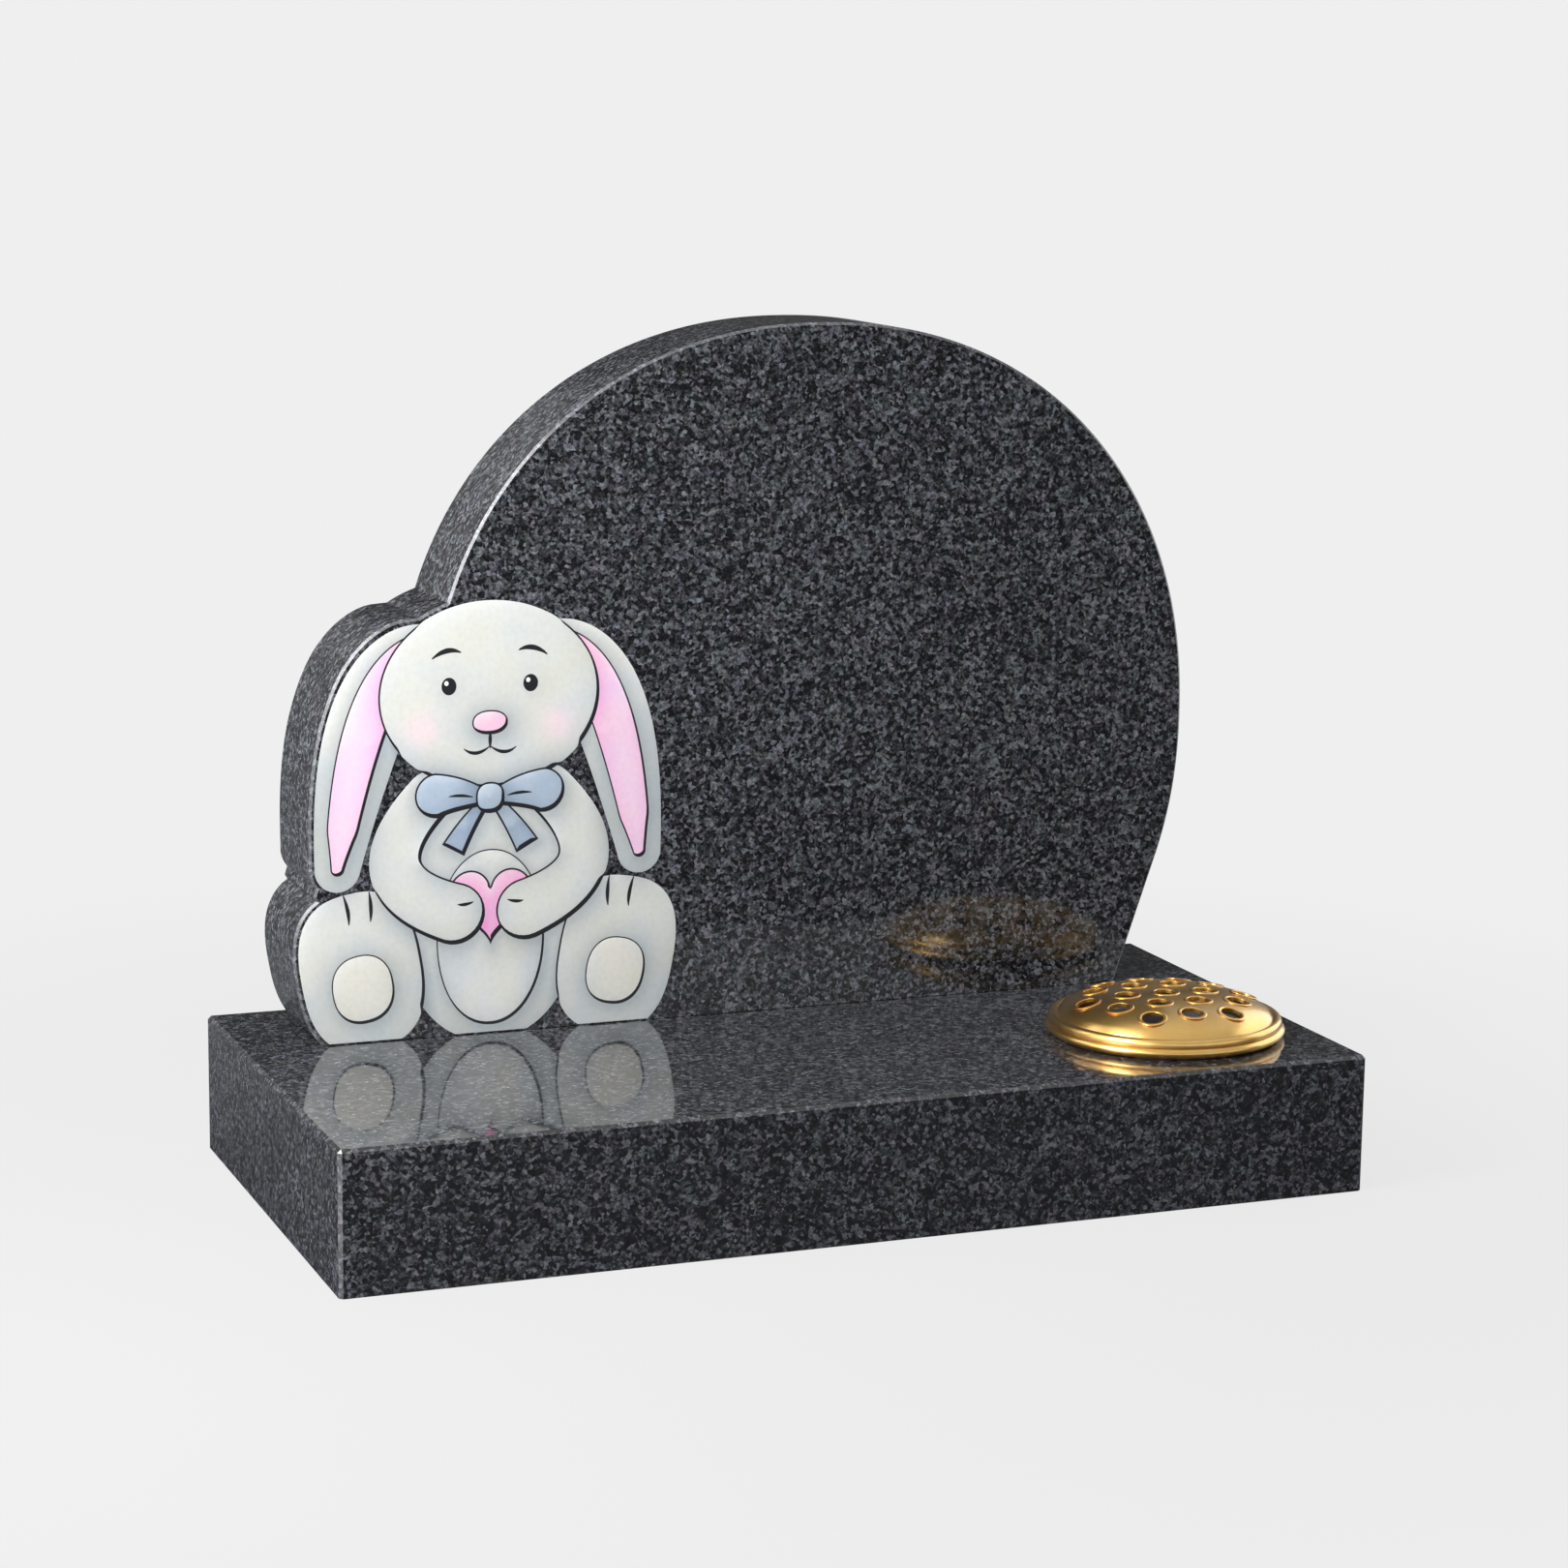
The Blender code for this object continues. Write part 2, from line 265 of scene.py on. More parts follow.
# %% Floor, sky and lamps
BACKDROP = 0.863
FLOOR_TONE = 0.42
FLOOR_MIRRORED_FRONT, FLOOR_MIRRORED_BEHIND = (0.07, 0.07, 0.08), (0.18, 0.185, 0.20)
FLOOR_FRONT_END, FLOOR_BEHIND_START = 0.0, 0.5
SHADOW_SHARE = 0.12
SHADOW_NEAR, SHADOW_FAR = 0.30, 1.0
ROOM_TONES = [(0.0, 0.22), (0.30, 0.28), (0.65, 0.50), (1.0, 0.74)]
FLAG_TONE = 0.06
FLAG_TOP, FLAG_TOP_FADE = 0.29, 0.46
FLAG_LEFT_FADE, FLAG_LEFT = -0.12, 0.12
FLAG_SIDE, FLAG_SIDE_FADE = 0.46, 0.58
FLAG_BEHIND_FADE, FLAG_BEHIND = 0.2, 0.6
FRONT_GLOW = 1.1
GLOW_AHEAD, GLOW_AHEAD_FADE = -0.70, -0.35
bpy.context.scene.view_settings.view_transform = "Standard"

bpy.ops.mesh.primitive_circle_add(vertices=96, radius=40.0, fill_type="NGON", location=(0, 0, 0))
floor = name_piece("floor")
net = Net(bpy.data.materials.new("pale floor"))
net.nodes.remove(net.nodes["Principled BSDF"])
ray = net.new("ShaderNodeLightPath")
spot = net.new("ShaderNodeTexCoord")
distance = net.new("ShaderNodeVectorMath")
distance.operation = "LENGTH"
net.link(spot.outputs["Object"], distance.inputs[0])
split = net.new("ShaderNodeSeparateXYZ")
net.link(spot.outputs["Object"], split.inputs[0])
behind = net.fade(split.outputs["Y"], FLOOR_FRONT_END, FLOOR_BEHIND_START)
floor_mirrored = net.mix(behind, (*FLOOR_MIRRORED_FRONT, 1), (*FLOOR_MIRRORED_BEHIND, 1))
even_tone = net.mix(ray.outputs["Is Camera Ray"], floor_mirrored, grey(BACKDROP))
even = net.new("ShaderNodeEmission")
net.link(even_tone, even.inputs["Color"])
matt = net.new("ShaderNodeBsdfDiffuse")
matt.inputs["Color"].default_value = grey(FLOOR_TONE)
open_floor = net.fade(distance.outputs["Value"], SHADOW_NEAR, SHADOW_FAR, 1 - SHADOW_SHARE)
seen_even = net.math("MULTIPLY", open_floor, ray.outputs["Is Camera Ray"])
blend = net.new("ShaderNodeMixShader")
net.link(net.math("MAXIMUM", seen_even, ray.outputs["Is Glossy Ray"]), blend.inputs[0])
net.link(matt.outputs[0], blend.inputs[1])
net.link(even.outputs[0], blend.inputs[2])
net.link(blend.outputs[0], net.nodes["Material Output"].inputs["Surface"])
floor.data.materials.append(net.owner)

net = Net(bpy.data.worlds.new("studio"))
bpy.context.scene.world = net.owner
direction = net.new("ShaderNodeTexCoord")
split = net.new("ShaderNodeSeparateXYZ")
net.link(direction.outputs["Generated"], split.inputs[0])
room = net.ramp([(height, (tone,) * 3) for height, tone in ROOM_TONES])
net.link(split.outputs["Z"], room.inputs[0])
below = net.fade(split.outputs["Z"], FLAG_TOP, FLAG_TOP_FADE, 1.0, 0.0)
beside = net.fade(split.outputs["X"], FLAG_SIDE, FLAG_SIDE_FADE, 1.0, 0.0)
behind = net.fade(split.outputs["Y"], FLAG_BEHIND_FADE, FLAG_BEHIND)
inward = net.fade(split.outputs["X"], FLAG_LEFT_FADE, FLAG_LEFT)
across = net.math("MULTIPLY", beside, inward)
flag = net.math("MULTIPLY", net.math("MULTIPLY", below, across), behind)
flagged = net.mix(flag, room.outputs[0], grey(FLAG_TONE))
ray = net.new("ShaderNodeLightPath")
ahead = net.fade(split.outputs["Y"], GLOW_AHEAD, GLOW_AHEAD_FADE, 1.0, 0.0)
glow = net.math("MULTIPLY", net.math("MULTIPLY", below, ahead), ray.outputs["Is Glossy Ray"])
lit = net.mix(glow, flagged, grey(FRONT_GLOW))
net.link(net.mix(ray.outputs["Is Camera Ray"], lit, grey(BACKDROP)),
         net.nodes["Background"].inputs["Color"])


def softbox(name, place, aim, size, radiance):
    """A rectangular lamp at a place, aimed at a point, as bright per area as asked."""
    data = bpy.data.lights.new(name, "AREA")
    data.shape = "RECTANGLE"
    data.size, data.size_y = size
    data.energy = radiance * math.pi * size[0] * size[1]
    lamp = add_object(name, data)
    lamp.location = place
    lamp.rotation_euler = (Vector(aim) - lamp.location).to_track_quat("-Z", "Y").to_euler()


softbox("left softbox", (-0.80, -0.33, 0.77), (-0.05, 0.0, 0.25), (0.45, 0.78), 15.5)
softbox("left wall softbox", (-1.60, -0.65, 0.62), (0.0, 0.0, 0.15), (2.4, 1.1), 1.7)
softbox("right softbox", (1.1, 0.15, 0.42), (0.2, 0.0, 0.1), (1.1, 0.8), 1.3)
print("floor", len(floor.data.vertices), "corners, lamps", len(bpy.data.lights))

# %% [markdown]
# Polished granite
#
# This granite is a tight mix of dark grains, one to two and a half millimetres across: black mica, dark and
# mid grey feldspar and a few pale ones, very slightly blue. A Voronoi pattern gives every grain a tone of
# its own, a finer one breaks the grains up, and a slow noise lets the stone vary over a hand's width.
# Polish is a clear, sharp reflection: low roughness, and bump so weak that it only stirs the highlights.
# Some narrow arrises are only honed, so they are paler and duller. They carry an attribute of their own,
# which tells the finish where they are.

# %% Granite material
GRAIN = 0.0023
FINE_GRAIN = 0.0012
GRAIN_MIDDLE = 0.042
GRAIN_TINT = (0.93, 0.97, 1.10)
GRAIN_TONES = [
    (0.00, 0.0010),
    (0.16, 0.0015),
    (0.28, 0.0040),
    (0.40, 0.0120),
    (0.52, 0.0290),
    (0.64, 0.0570),
    (0.76, 0.1020),
    (0.88, 0.1600),
    (1.00, 0.2200),
]
COARSE_WEIGHT, FINE_WEIGHT = 0.62, 0.38
WOBBLE = 0.6
DRIFT, DRIFT_SCALE = 0.10, 14.0
CLOUD, CLOUD_SHARE = 0.010, 0.16
POLISHED_ROUGHNESS, GRAIN_ROUGHNESS, HONED_ROUGHNESS = 0.035, 0.05, 0.22
HONED_TONE = 1.9
HONED_GREY, HONED_GREY_SHARE = (0.12, 0.12, 0.13), 0.55


def granite_material(name, lift, contrast, index):
    """Granite with its tones lifted and evened out as asked; a higher index mirrors more at a low angle."""
    net = Net(bpy.data.materials.new(name))
    shader = net.nodes["Principled BSDF"]
    where = net.new("ShaderNodeTexCoord").outputs["Object"]
    wobble = net.noise(where, 1 / GRAIN, 1.0)
    shift = net.new("ShaderNodeVectorMath")
    shift.operation = "MULTIPLY_ADD"
    shift.inputs[1].default_value = (GRAIN * WOBBLE,) * 3
    net.link(wobble.outputs["Color"], shift.inputs[0])
    net.link(where, shift.inputs[2])
    tones = []
    for size in (GRAIN, FINE_GRAIN):
        cells = net.new("ShaderNodeTexVoronoi")
        cells.inputs["Scale"].default_value = 1 / size
        net.link(shift.outputs[0], cells.inputs["Vector"])
        channel = net.new("ShaderNodeSeparateColor")
        net.link(cells.outputs["Color"], channel.inputs[0])
        tones.append(channel.outputs[0])
    slow = net.noise(where, DRIFT_SCALE, 3.0)
    coarse = net.math("MULTIPLY", tones[0], COARSE_WEIGHT)
    mixed = net.math("MULTIPLY_ADD", tones[1], FINE_WEIGHT, coarse)
    drift = net.math("MULTIPLY_ADD", slow.outputs["Fac"], DRIFT, lift - DRIFT / 2)
    tone = net.math("ADD", mixed, drift)
    tones_used = [(place, GRAIN_MIDDLE + (value - GRAIN_MIDDLE) * contrast) for place, value in GRAIN_TONES]
    colours = net.ramp([(place, tuple(tint * value for tint in GRAIN_TINT)) for place, value in tones_used])
    net.link(tone, colours.inputs[0])
    cloud = net.noise(where, 1 / CLOUD)
    polished = net.mix(CLOUD_SHARE, colours.outputs[0], cloud.outputs["Color"], "OVERLAY")
    honed = net.new("ShaderNodeAttribute")
    honed.attribute_name = "honed"
    pale = net.mix(1.0, polished, grey(HONED_TONE), "MULTIPLY")
    pale = net.mix(HONED_GREY_SHARE, pale, (*HONED_GREY, 1))
    net.link(net.mix(honed.outputs["Fac"], polished, pale), shader.inputs["Base Color"])
    rough = net.math("MULTIPLY_ADD", tones[0], GRAIN_ROUGHNESS, POLISHED_ROUGHNESS)
    dull = net.math("MULTIPLY_ADD", honed.outputs["Fac"], HONED_ROUGHNESS, rough)
    net.link(dull, shader.inputs["Roughness"])
    shader.inputs["IOR"].default_value = index
    net.bump(shader, mixed, strength=0.02, distance=0.0002)
    return net.owner


def mark_honed(thing, test):
    """Marks the faces that pass a test as honed and all others as polished."""
    honed = thing.data.attributes.new("honed", "FLOAT", "FACE")
    for face, mark in zip(thing.data.polygons, honed.data):
        mark.value = 1.0 if test(face) else 0.0


base_granite = granite_material("base granite", -0.03, 0.84, 1.80)
stone_granite = granite_material("headstone granite", 0.027, 0.88, 1.50)
print("granite grains", GRAIN, "and", FINE_GRAIN)

# %% [markdown]
# The base
#
# A slab of granite, sawn square and polished. The mason takes the sharpness off its upper and upright edges
# with a small flat arris. So it is a box with those edges bevelled by one segment, and a round hole is
# cored right through it for the flower container. Only the upright arrises are left honed.

# %% Base slab
ARRIS = 0.002
HOLE_CLEARANCE = 0.0015
FLANGE_LEDGE = 0.0055
pot_middle = (pot_low + pot_high) / 2
hole_radius = (pot_high.x - pot_low.x) / 2 - FLANGE_LEDGE

base_size = base_high - base_low
bpy.ops.object.select_all(action="DESELECT")
bpy.ops.mesh.primitive_cube_add(size=1, location=(base_low + base_high) / 2, scale=base_size)
base = name_piece("granite_slab")
apply_place(base)
pick(base, "edges", lambda edge: any(vert.co.z > base_size.z / 2 for vert in edge.verts))
bpy.ops.mesh.bevel(offset=ARRIS, segments=1, affect="EDGES")
leave_edit_mode()
bpy.ops.mesh.primitive_cylinder_add(vertices=128, radius=hole_radius, depth=3 * base_size.z,
                                    location=(pot_middle.x, pot_middle.y, base_size.z / 2))
cut_with(base, name_piece("core_drill"))
smooth_by_angle(base, 20)
mark_honed(base, lambda face: 0.5 < abs(face.normal.y) < 0.9 and abs(face.normal.z) < 0.3)
base.data.materials.clear()
base.data.materials.append(base_granite)
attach(base, "root")
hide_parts("granite_base")
print("base slab", len(base.data.polygons), "faces, hole", round(hole_radius * 2000, 1), "mm")

# %% [markdown]
# The toy rabbit's outline
#
# The stone's left lobe follows a seated toy rabbit, and the painting fills the same shapes, so the shapes
# come first. They are ellipses, squared ellipses and bands swept along a curve, all given as shares of the
# rabbit's height, measured from its middle line and from the top of the base.

# %% Shapes of the figure
FIGURE_HEIGHT = 0.255
FIGURE_MARGIN = 0.003
NOTCH_FILL = 0.030
DISC_SQUARENESS = 2.14
DISC_HALF_WIDTH, DISC_HALF_HEIGHT = 0.2413, 0.2423
DISC_CENTRE_ABOVE_BASE = 0.1684
FLANK_HEIGHT = 0.079
FIGURE_LEFT_OF_DISC_CENTRE = 0.2037
EAR_ROOT, EAR_BEND, EAR_TIP = (-0.130, 0.915), (-0.295, 0.890), (-0.357, 0.405)
EAR_HALF_WIDTH = 0.090
EAR_TAPER_START, EAR_TAPER_SPAN = 0.12, 0.68

joint = stone_low.z
disc_middle = stone_high.x - DISC_HALF_WIDTH
figure_middle = disc_middle - FIGURE_LEFT_OF_DISC_CENTRE
base_top = base_high.z


def signed_power(value, power):
    return math.copysign(abs(value) ** power, value)


def oval(centre, half_size, squareness=2.0, lean=0.0, count=120):
    """A closed ellipse, or squared ellipse, leaned anticlockwise by some degrees."""
    turn = math.radians(lean)
    points = []
    for step in range(count):
        angle = 2 * math.pi * step / count
        x = half_size[0] * signed_power(math.cos(angle), 2 / squareness)
        z = half_size[1] * signed_power(math.sin(angle), 2 / squareness)
        points.append((centre[0] + x * math.cos(turn) - z * math.sin(turn),
                       centre[1] + x * math.sin(turn) + z * math.cos(turn)))
    return points


def band(corners, half_width, count=60, caps=True):
    """A closed band along a quadratic curve. half_width gives its half width at each share of the way."""
    root, bend, tip = corners
    right, left, tip_cap, root_cap = [], [], [], []
    for step in range(count + 1):
        t = step / count
        x, z = ((1 - t) ** 2 * a + 2 * t * (1 - t) * b + t * t * c for a, b, c in zip(root, bend, tip))
        dx, dz = (2 * (1 - t) * (b - a) + 2 * t * (c - b) for a, b, c in zip(root, bend, tip))
        length = math.hypot(dx, dz)
        dx, dz, half = dx / length, dz / length, half_width(t)
        right.append((x + half * dz, z - half * dx))
        left.append((x - half * dz, z + half * dx))
        if caps and step in (0, count):
            for turn in range(1, 16):
                angle = math.pi * turn / 16
                along, across = half * math.sin(angle), half * math.cos(angle)
                if step:
                    tip_cap.append((x + along * dx + across * dz, z + along * dz - across * dx))
                else:
                    root_cap.append((x - along * dx - across * dz, z - along * dz + across * dx))
    return right + tip_cap + left[::-1] + root_cap


def ear_half_width(t):
    return EAR_HALF_WIDTH * math.sin(math.pi * (EAR_TAPER_START + EAR_TAPER_SPAN * t))


def head_shape(grow=0.0):
    return oval((0.0, 0.785), (0.260 + grow, 0.215 + grow))


def ear_shape(grow=0.0):
    return band((EAR_ROOT, EAR_BEND, EAR_TIP), lambda t: ear_half_width(t) + grow)


def foot_shape(grow=0.0):
    return oval((-0.302, 0.165), (0.141 + grow, 0.184 + grow), 2.6, 10)


print("figure middle", round(figure_middle, 4), "disc middle", round(disc_middle, 4))

# %% [markdown]
# The headstone
#
# The front of the stone is one closed outline: up a short straight flank and the slightly squared disc on
# the right, over its top, down to where the rabbit's head stands out, and down the rabbit's side to the
# base. At each height the lobe's edge is the leftmost of head, ear and foot, and the notches between them
# are filled a little, as a saw can't follow them.

# %% Outline of the headstone
def leftmost(outline, height):
    """Leftmost point of a closed outline at a height, or the middle line where it doesn't reach."""
    found = 0.0
    for (x0, z0), (x1, z1) in zip(outline, outline[1:] + outline[:1]):
        if (z0 - height) * (z1 - height) <= 0 and z0 != z1:
            found = min(found, x0 + (x1 - x0) * (height - z0) / (z1 - z0))
    return found


def soft_minimum(first, second, width):
    closeness = max(width - abs(first - second), 0.0) / width
    return min(first, second) - closeness * closeness * width / 4


def lobe_edge(outlines, height):
    edge = leftmost(outlines[0], height)
    for outline in outlines[1:]:
        edge = soft_minimum(edge, leftmost(outline, height), NOTCH_FILL)
    return figure_middle + edge


def disc_half_width_at(height):
    """Half width of the disc. Below the flank's height the edge goes on straight, along its slope there."""
    level = max(height, FLANK_HEIGHT)
    rise = min(abs(level - DISC_CENTRE_ABOVE_BASE) / DISC_HALF_HEIGHT, 1.0)
    reach = (1 - rise ** DISC_SQUARENESS) ** (1 / DISC_SQUARENESS)
    half_width = DISC_HALF_WIDTH * reach
    if height < level:
        slope = DISC_HALF_WIDTH / DISC_HALF_HEIGHT * (rise / reach) ** (DISC_SQUARENESS - 1)
        half_width -= slope * (level - height)
    return half_width


def stone_outline(disc_points, lobe_points):
    """Anticlockwise from the lower right corner, in metres from the middle of the base and its top."""
    grow = FIGURE_MARGIN / FIGURE_HEIGHT
    outlines = [[(x * FIGURE_HEIGHT, z * FIGURE_HEIGHT) for x, z in shape]
                for shape in (head_shape(grow), ear_shape(grow), foot_shape(grow))]
    foot = joint - base_top
    lobe_top = max(z for shape in outlines for x, z in shape)
    points = [(disc_middle + disc_half_width_at(height), height) for height in (foot, FLANK_HEIGHT)]
    for step in range(disc_points):
        angle = -math.pi / 2 + 2 * math.pi * step / disc_points
        x = DISC_HALF_WIDTH * signed_power(math.cos(angle), 2 / DISC_SQUARENESS)
        rise = DISC_HALF_HEIGHT * signed_power(math.sin(angle), 2 / DISC_SQUARENESS)
        height = DISC_CENTRE_ABOVE_BASE + rise
        if height > FLANK_HEIGHT + 0.0005 and (x > 0 or height > lobe_top + 0.001):
            points.append((disc_middle + x, height))
    for step in range(lobe_points, -1, -1):
        height = foot + (lobe_top - foot) * math.sin(math.pi / 2 * step / lobe_points)
        points.append((min(disc_middle - disc_half_width_at(height), lobe_edge(outlines, height)), height))
    return points


outline = stone_outline(disc_points=320, lobe_points=150)
outline_width = max(x for x, z in outline) - min(x for x, z in outline)
print("outline", len(outline), "points, width", round(outline_width, 4))

# %% Cut, polish and stand the stone
STONE_ARRIS = 0.0015

bpy.ops.object.select_all(action="DESELECT")
bpy.ops.mesh.primitive_circle_add(vertices=len(outline), radius=1.0, fill_type="NGON")
stone = name_piece("round_headstone")
for vert, (x, z) in zip(stone.data.vertices, outline):
    vert.co = (x, stone_low.y, base_top + z)
pick(stone, "faces", lambda face: True)
bpy.ops.mesh.extrude_region_move(TRANSFORM_OT_translate={"value": (0, stone_high.y - stone_low.y, 0)})
bpy.ops.mesh.select_all(action="SELECT")
bpy.ops.mesh.normals_make_consistent(inside=False)
leave_edit_mode()
pick(stone, "edges", lambda edge: abs(edge.verts[0].co.y - edge.verts[1].co.y) < STONE_ARRIS
     and max(vert.co.z for vert in edge.verts) > joint + 0.0001)
bpy.ops.mesh.bevel(offset=STONE_ARRIS, segments=1, affect="EDGES")
leave_edit_mode()
smooth_by_angle(stone, 20)
mark_honed(stone, lambda face: 0.5 < abs(face.normal.y) < 0.9)
stone.data.materials.clear()
stone.data.materials.append(stone_granite)
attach(stone, "root")
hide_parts("headstone")
print("headstone", len(stone.data.polygons), "faces")

# %% [markdown]
# The painted rabbit
#
# On the real stone the picture is enamel paint on the polished face, thin and flush, with soft airbrushed
# shading and crisp black brush lines. It could be stacked like paper cut-outs, but paint is one film, so it
# is made as one: all outlines are laid into one flat triangulation, each triangle takes the colour of the
# topmost shape over it, and the shading is worked out at its corners. Shapes later in the list lie over
# earlier ones.

# %% Shapes of the painting, from the back to the front
FUR = (0.63, 0.64, 0.61)
FUR_SHADE = (0.26, 0.30, 0.33)
PALE_FUR = (0.66, 0.67, 0.65)
PAD = (0.67, 0.66, 0.60)
PINK = (0.80, 0.61, 0.74)
PALE_PINK = (0.76, 0.52, 0.64)
PINK_SHADE = (0.74, 0.27, 0.55)
RIBBON = (0.38, 0.46, 0.56)
RIBBON_SHADE = (0.13, 0.18, 0.26)
INK = (0.012, 0.012, 0.016)
WHITE = (0.85, 0.85, 0.85)
PLAIN_INK = (INK, INK, 0, 0, 0)
LINE = 0.0078
LINE_SWELL = 0.45


def mirrored(points):
    return [(-x, z) for x, z in points][::-1]


def heart(centre, size, count=120):
    points = []
    for step in range(count):
        t = 2 * math.pi * step / count
        x = math.sin(t) ** 3
        z = (13 * math.cos(t) - 5 * math.cos(2 * t) - 2 * math.cos(3 * t) - math.cos(4 * t)) / 16
        points.append((centre[0] - size * x, centre[1] + size * z))
    return points


def stroke(corners, width):
    """A brush line that swells in the middle and thins to its ends."""
    return band(corners, lambda t: width * (0.25 + 0.75 * math.sin(math.pi * t)), count=24)


class Paint:
    """One shape of the painting: its outline, its colour, the colour of its shade and its edge line."""

    def __init__(self, outline, colour, shade, line=1.0, soft=1.0, cast=1.0):
        self.outline = [(figure_middle + x * FIGURE_HEIGHT, base_top + z * FIGURE_HEIGHT)
                        for x, z in outline]
        self.colour, self.shade = np.array(colour), np.array(shade)
        self.line, self.soft, self.cast = line * LINE * FIGURE_HEIGHT, soft, cast


def pair(points, *look):
    """A shape and its mirror image, painted alike."""
    return [Paint(side, *look) for side in (points, mirrored(points))]


def painted_shapes():
    """All shapes, from the body at the back to the knot of the bow in front."""
    arm = band(((-0.140, 0.560), (-0.330, 0.370), (-0.085, 0.285)), lambda t: 0.058 + 0.014 * t * t)
    lining = band((EAR_ROOT, EAR_BEND, EAR_TIP),
                  lambda t: 0.56 * ear_half_width(t) * min(1.0, 5 * (1 - t) + 0.55))
    tail = band(((-0.012, 0.540), (-0.050, 0.500), (-0.088, 0.432)), lambda t: 0.014 + 0.016 * t,
                caps=False)
    loop = band(((-0.015, 0.550), (-0.075, 0.565), (-0.125, 0.560)), lambda t: 0.018 + 0.034 * t ** 0.7)
    return [
        Paint(oval((0.0, 0.300), (0.218, 0.315), 2.2), FUR, FUR_SHADE),
        Paint(oval((0.0, 0.225), (0.128, 0.205), 2.1), PALE_FUR, FUR_SHADE, 0.7),
        *pair(foot_shape(), FUR, FUR_SHADE),
        *pair(oval((-0.300, 0.125), (0.072, 0.080), 2.3, 10), PAD, FUR_SHADE, 0.7, 0.7),
        *pair(stroke(((-0.345, 0.345), (-0.330, 0.305), (-0.332, 0.275)), 0.0045), *PLAIN_INK),
        *pair(stroke(((-0.285, 0.350), (-0.278, 0.310), (-0.282, 0.280)), 0.0045), *PLAIN_INK),
        Paint(heart((0.0, 0.310), 0.098), PALE_PINK, PINK_SHADE),
        *pair(arm, FUR, FUR_SHADE),
        *pair(stroke(((-0.040, 0.310), (-0.062, 0.302), (-0.078, 0.306)), 0.0040), *PLAIN_INK),
        *pair(ear_shape(), PALE_FUR, FUR_SHADE),
        *pair(lining, PINK, PINK_SHADE, 0.8),
        Paint(head_shape(), FUR, FUR_SHADE),
        *pair(stroke(((-0.135, 0.872), (-0.100, 0.900), (-0.068, 0.884)), 0.0060), *PLAIN_INK),
        *pair(oval((-0.096, 0.808), (0.0175, 0.0200)), INK, INK, 0, 0, 0.3),
        Paint(oval((-0.102, 0.815), (0.0050, 0.0055), count=24), WHITE, WHITE, 0, 0, 0),
        Paint(oval((0.090, 0.815), (0.0050, 0.0055), count=24), WHITE, WHITE, 0, 0, 0),
        *pair(stroke(((0.0, 0.668), (-0.034, 0.640), (-0.062, 0.664)), 0.0042), *PLAIN_INK),
        Paint(stroke(((0.0, 0.700), (0.0, 0.685), (0.0, 0.662)), 0.0042), *PLAIN_INK),
        Paint(oval((0.0, 0.722), (0.042, 0.028), 2.2), PALE_PINK, PINK_SHADE, 0.8, 0.5),
        *pair(tail, RIBBON, RIBBON_SHADE),
        *pair(loop, RIBBON, RIBBON_SHADE),
        *pair(stroke(((-0.040, 0.552), (-0.070, 0.560), (-0.098, 0.556)), 0.0036), *PLAIN_INK),
        Paint(oval((0.0, 0.549), (0.034, 0.036), 2.4), RIBBON, RIBBON_SHADE),
    ]


shapes = painted_shapes()
print("painting", len(shapes), "shapes")

# %% [markdown]
# Lines and soft shading
#
# A brush line runs inside a shape's edge only where that edge lies over other paint. Against bare granite
# the pale paint ends without a line, and the line thins out before it gets there. It is heaviest on the
# side away from the light. The shading is darker near a shape's own lower edges and beside the shapes that
# lie over it, and the edges towards the light are a little paler.

# %% Geometry helpers on many points at once
def inside(points, polygon):
    """Which of many points lie in a closed polygon, by counting crossings."""
    polygon = np.asarray(polygon)
    low, high = polygon.min(0), polygon.max(0)
    near = np.flatnonzero(np.all((points >= low) & (points <= high), axis=1))
    found = np.zeros(len(points), bool)
    if len(near):
        x, z = points[near, 0][:, None], points[near, 1][:, None]
        x0, z0 = polygon[:, 0], polygon[:, 1]
        x1, z1 = np.roll(x0, -1), np.roll(z0, -1)
        rise = np.where(z1 == z0, 1e-12, z1 - z0)
        crosses = ((z0 > z) != (z1 > z)) & (x < x0 + (x1 - x0) * (z - z0) / rise)
        found[near] = crosses.sum(1) % 2 == 1
    return found


def distance_to(points, polygon):
    """Distance of many points to a closed polygon's outline."""
    start = np.asarray(polygon)
    along = np.roll(start, -1, axis=0) - start
    length = np.maximum((along ** 2).sum(1), 1e-14)
    nearest = np.full(len(points), np.inf)
    for index in range(len(start)):
        offset = points - start[index]
        share = np.clip(offset @ along[index] / length[index], 0, 1)
        gap = offset - share[:, None] * along[index]
        nearest = np.minimum(nearest, (gap ** 2).sum(1))
    return np.sqrt(nearest)


def evenly(points, spacing):
    """The same closed outline with its points at an even spacing."""
    points = np.asarray(points)
    loop = np.vstack([points, points[:1]])
    run = np.r_[0, np.cumsum(np.hypot(*np.diff(loop, axis=0).T))]
    count = max(12, int(run[-1] / spacing))
    wanted = np.linspace(0, run[-1], count, endpoint=False)
    return np.c_[np.interp(wanted, run, loop[:, 0]), np.interp(wanted, run, loop[:, 1])]


